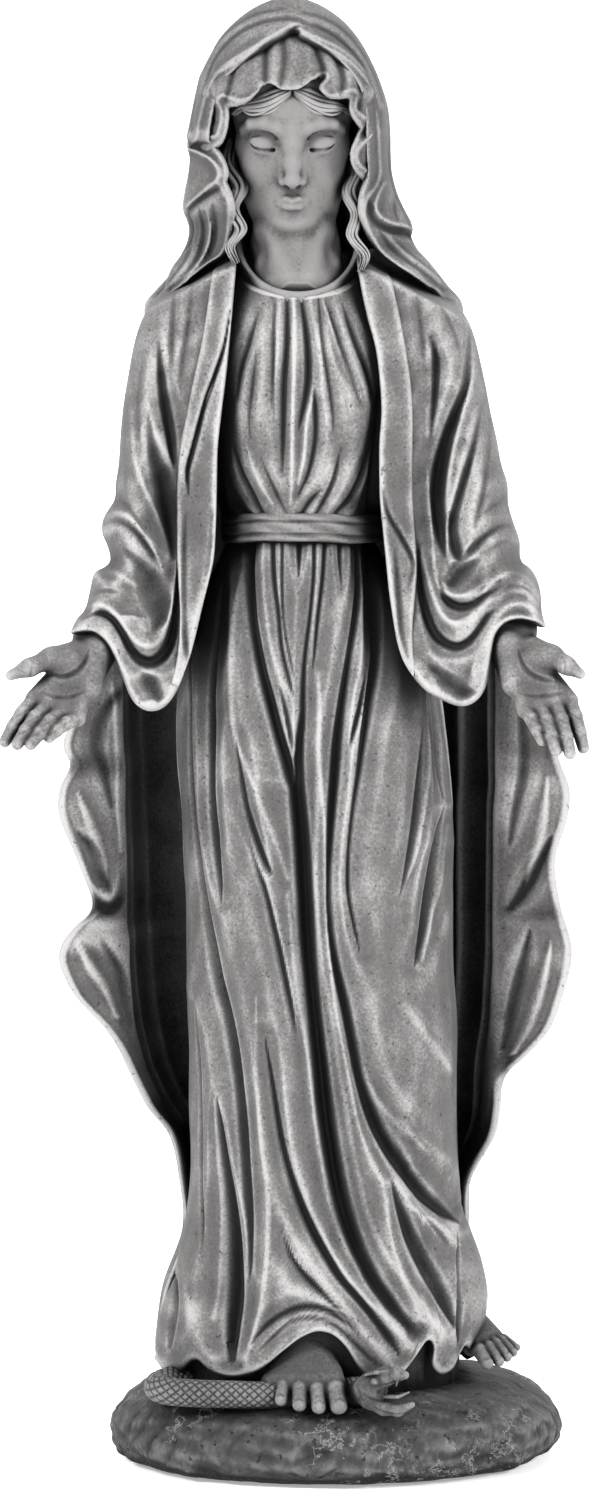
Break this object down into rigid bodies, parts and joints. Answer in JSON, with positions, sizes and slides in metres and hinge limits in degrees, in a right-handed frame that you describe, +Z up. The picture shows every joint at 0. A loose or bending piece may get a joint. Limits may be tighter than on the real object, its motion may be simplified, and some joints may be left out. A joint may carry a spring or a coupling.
{
  "type": "madonna statue",
  "caption": "Standing robed and veiled woman with open lowered hands, in grey cast stone, on a domed rock base that rests on round rubber pads.",
  "frame": {"origin": "middle of the part seen from above, on the plane of the rubber pads' undersides", "axes": "+Z up; -Y is the way the figure faces; +X towards the figure's left hand"},
  "size_m": [0.286, 0.1987, 0.74],
  "materials": {
    "cast_stone": "matt grey cast stone with dark wash in the folds and rubbed pale edges",
    "face_stone": "smoother matt grey cast stone, lightly rubbed",
    "rock_stone": "rough dark grey cast stone with pale chips",
    "closing_board": "plain dark moulded board",
    "pad_rubber": "matt black rubber",
    "hardware_steel": "zinc plated steel"
  },
  "bodies": {
    "root": {"base_rock": "rock_stone", "base_closing_plate": "closing_board", "base_pads": "pad_rubber", "tie_rod": "hardware_steel", "tie_rod_washer": "hardware_steel", "tie_rod_nut": "hardware_steel", "gown_skirt": "cast_stone", "gown_bodice": "cast_stone", "waist_sash": "cast_stone", "neck_band": "cast_stone", "head": "face_stone", "brow_hair": "cast_stone", "right_hair_lock": "cast_stone", "left_hair_lock": "cast_stone", "inner_veil": "cast_stone", "outer_veil": "cast_stone", "mantle_back": "cast_stone", "right_lapel": "cast_stone", "left_lapel": "cast_stone", "right_sleeve": "cast_stone", "left_sleeve": "cast_stone", "right_hand": "face_stone", "left_hand": "face_stone", "right_hand_dowel": "hardware_steel", "left_hand_dowel": "hardware_steel", "right_foot": "face_stone", "left_foot": "face_stone", "serpent_body": "rock_stone", "serpent_head": "rock_stone"}
  },
  "joints": []
}
